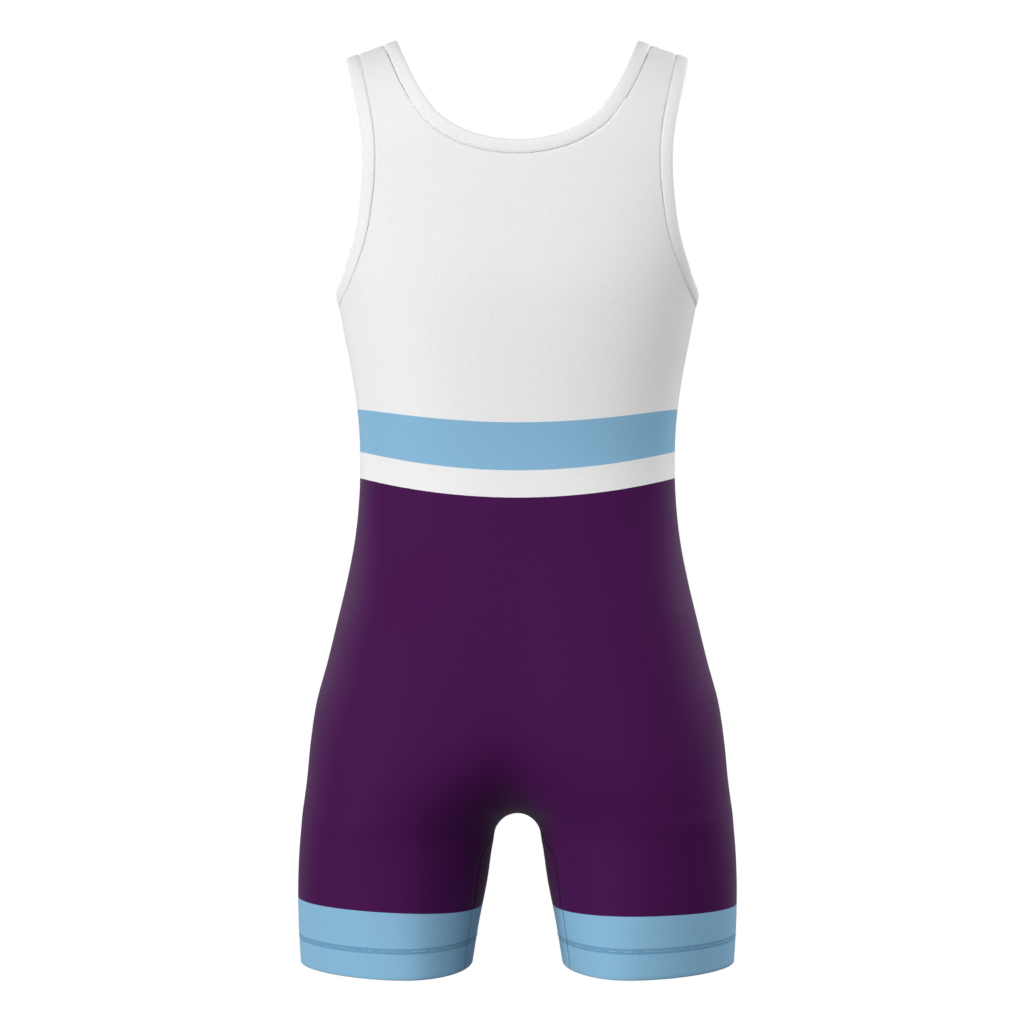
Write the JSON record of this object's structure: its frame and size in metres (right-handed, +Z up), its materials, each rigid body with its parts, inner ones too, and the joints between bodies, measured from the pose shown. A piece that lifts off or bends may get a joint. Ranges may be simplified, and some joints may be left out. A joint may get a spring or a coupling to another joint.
{
  "type": "wrestling singlet",
  "caption": "Sleeveless wrestling singlet with fitted short legs, bound scoop neck and armholes, filled out as worn: white top, blue and white waist stripes, purple legs, blue cuffs",
  "frame": {"origin": "midway between the two straps, at the height where their inner edges cross the shoulders, which is where the wearer carries the garment", "axes": "+X is the wearer's left, +Y is the wearer's back, which the picture shows, so the front faces -Y, and +Z is up"},
  "size_m": [0.3834, 0.2249, 0.8049],
  "materials": {
    "printed_knit": "polyester and elastane warp knit with a soft sheen, dye printed in one piece: white top, blue and white waist stripes, purple legs, blue cuffs",
    "binding_knit": "the same knit in plain white, folded double, with a soft sheen"
  },
  "bodies": {
    "root": {"back_panel": "printed_knit", "front_panel": "printed_knit", "neck_binding": "binding_knit", "arm_binding_left": "binding_knit", "arm_binding_right": "binding_knit"}
  },
  "joints": []
}
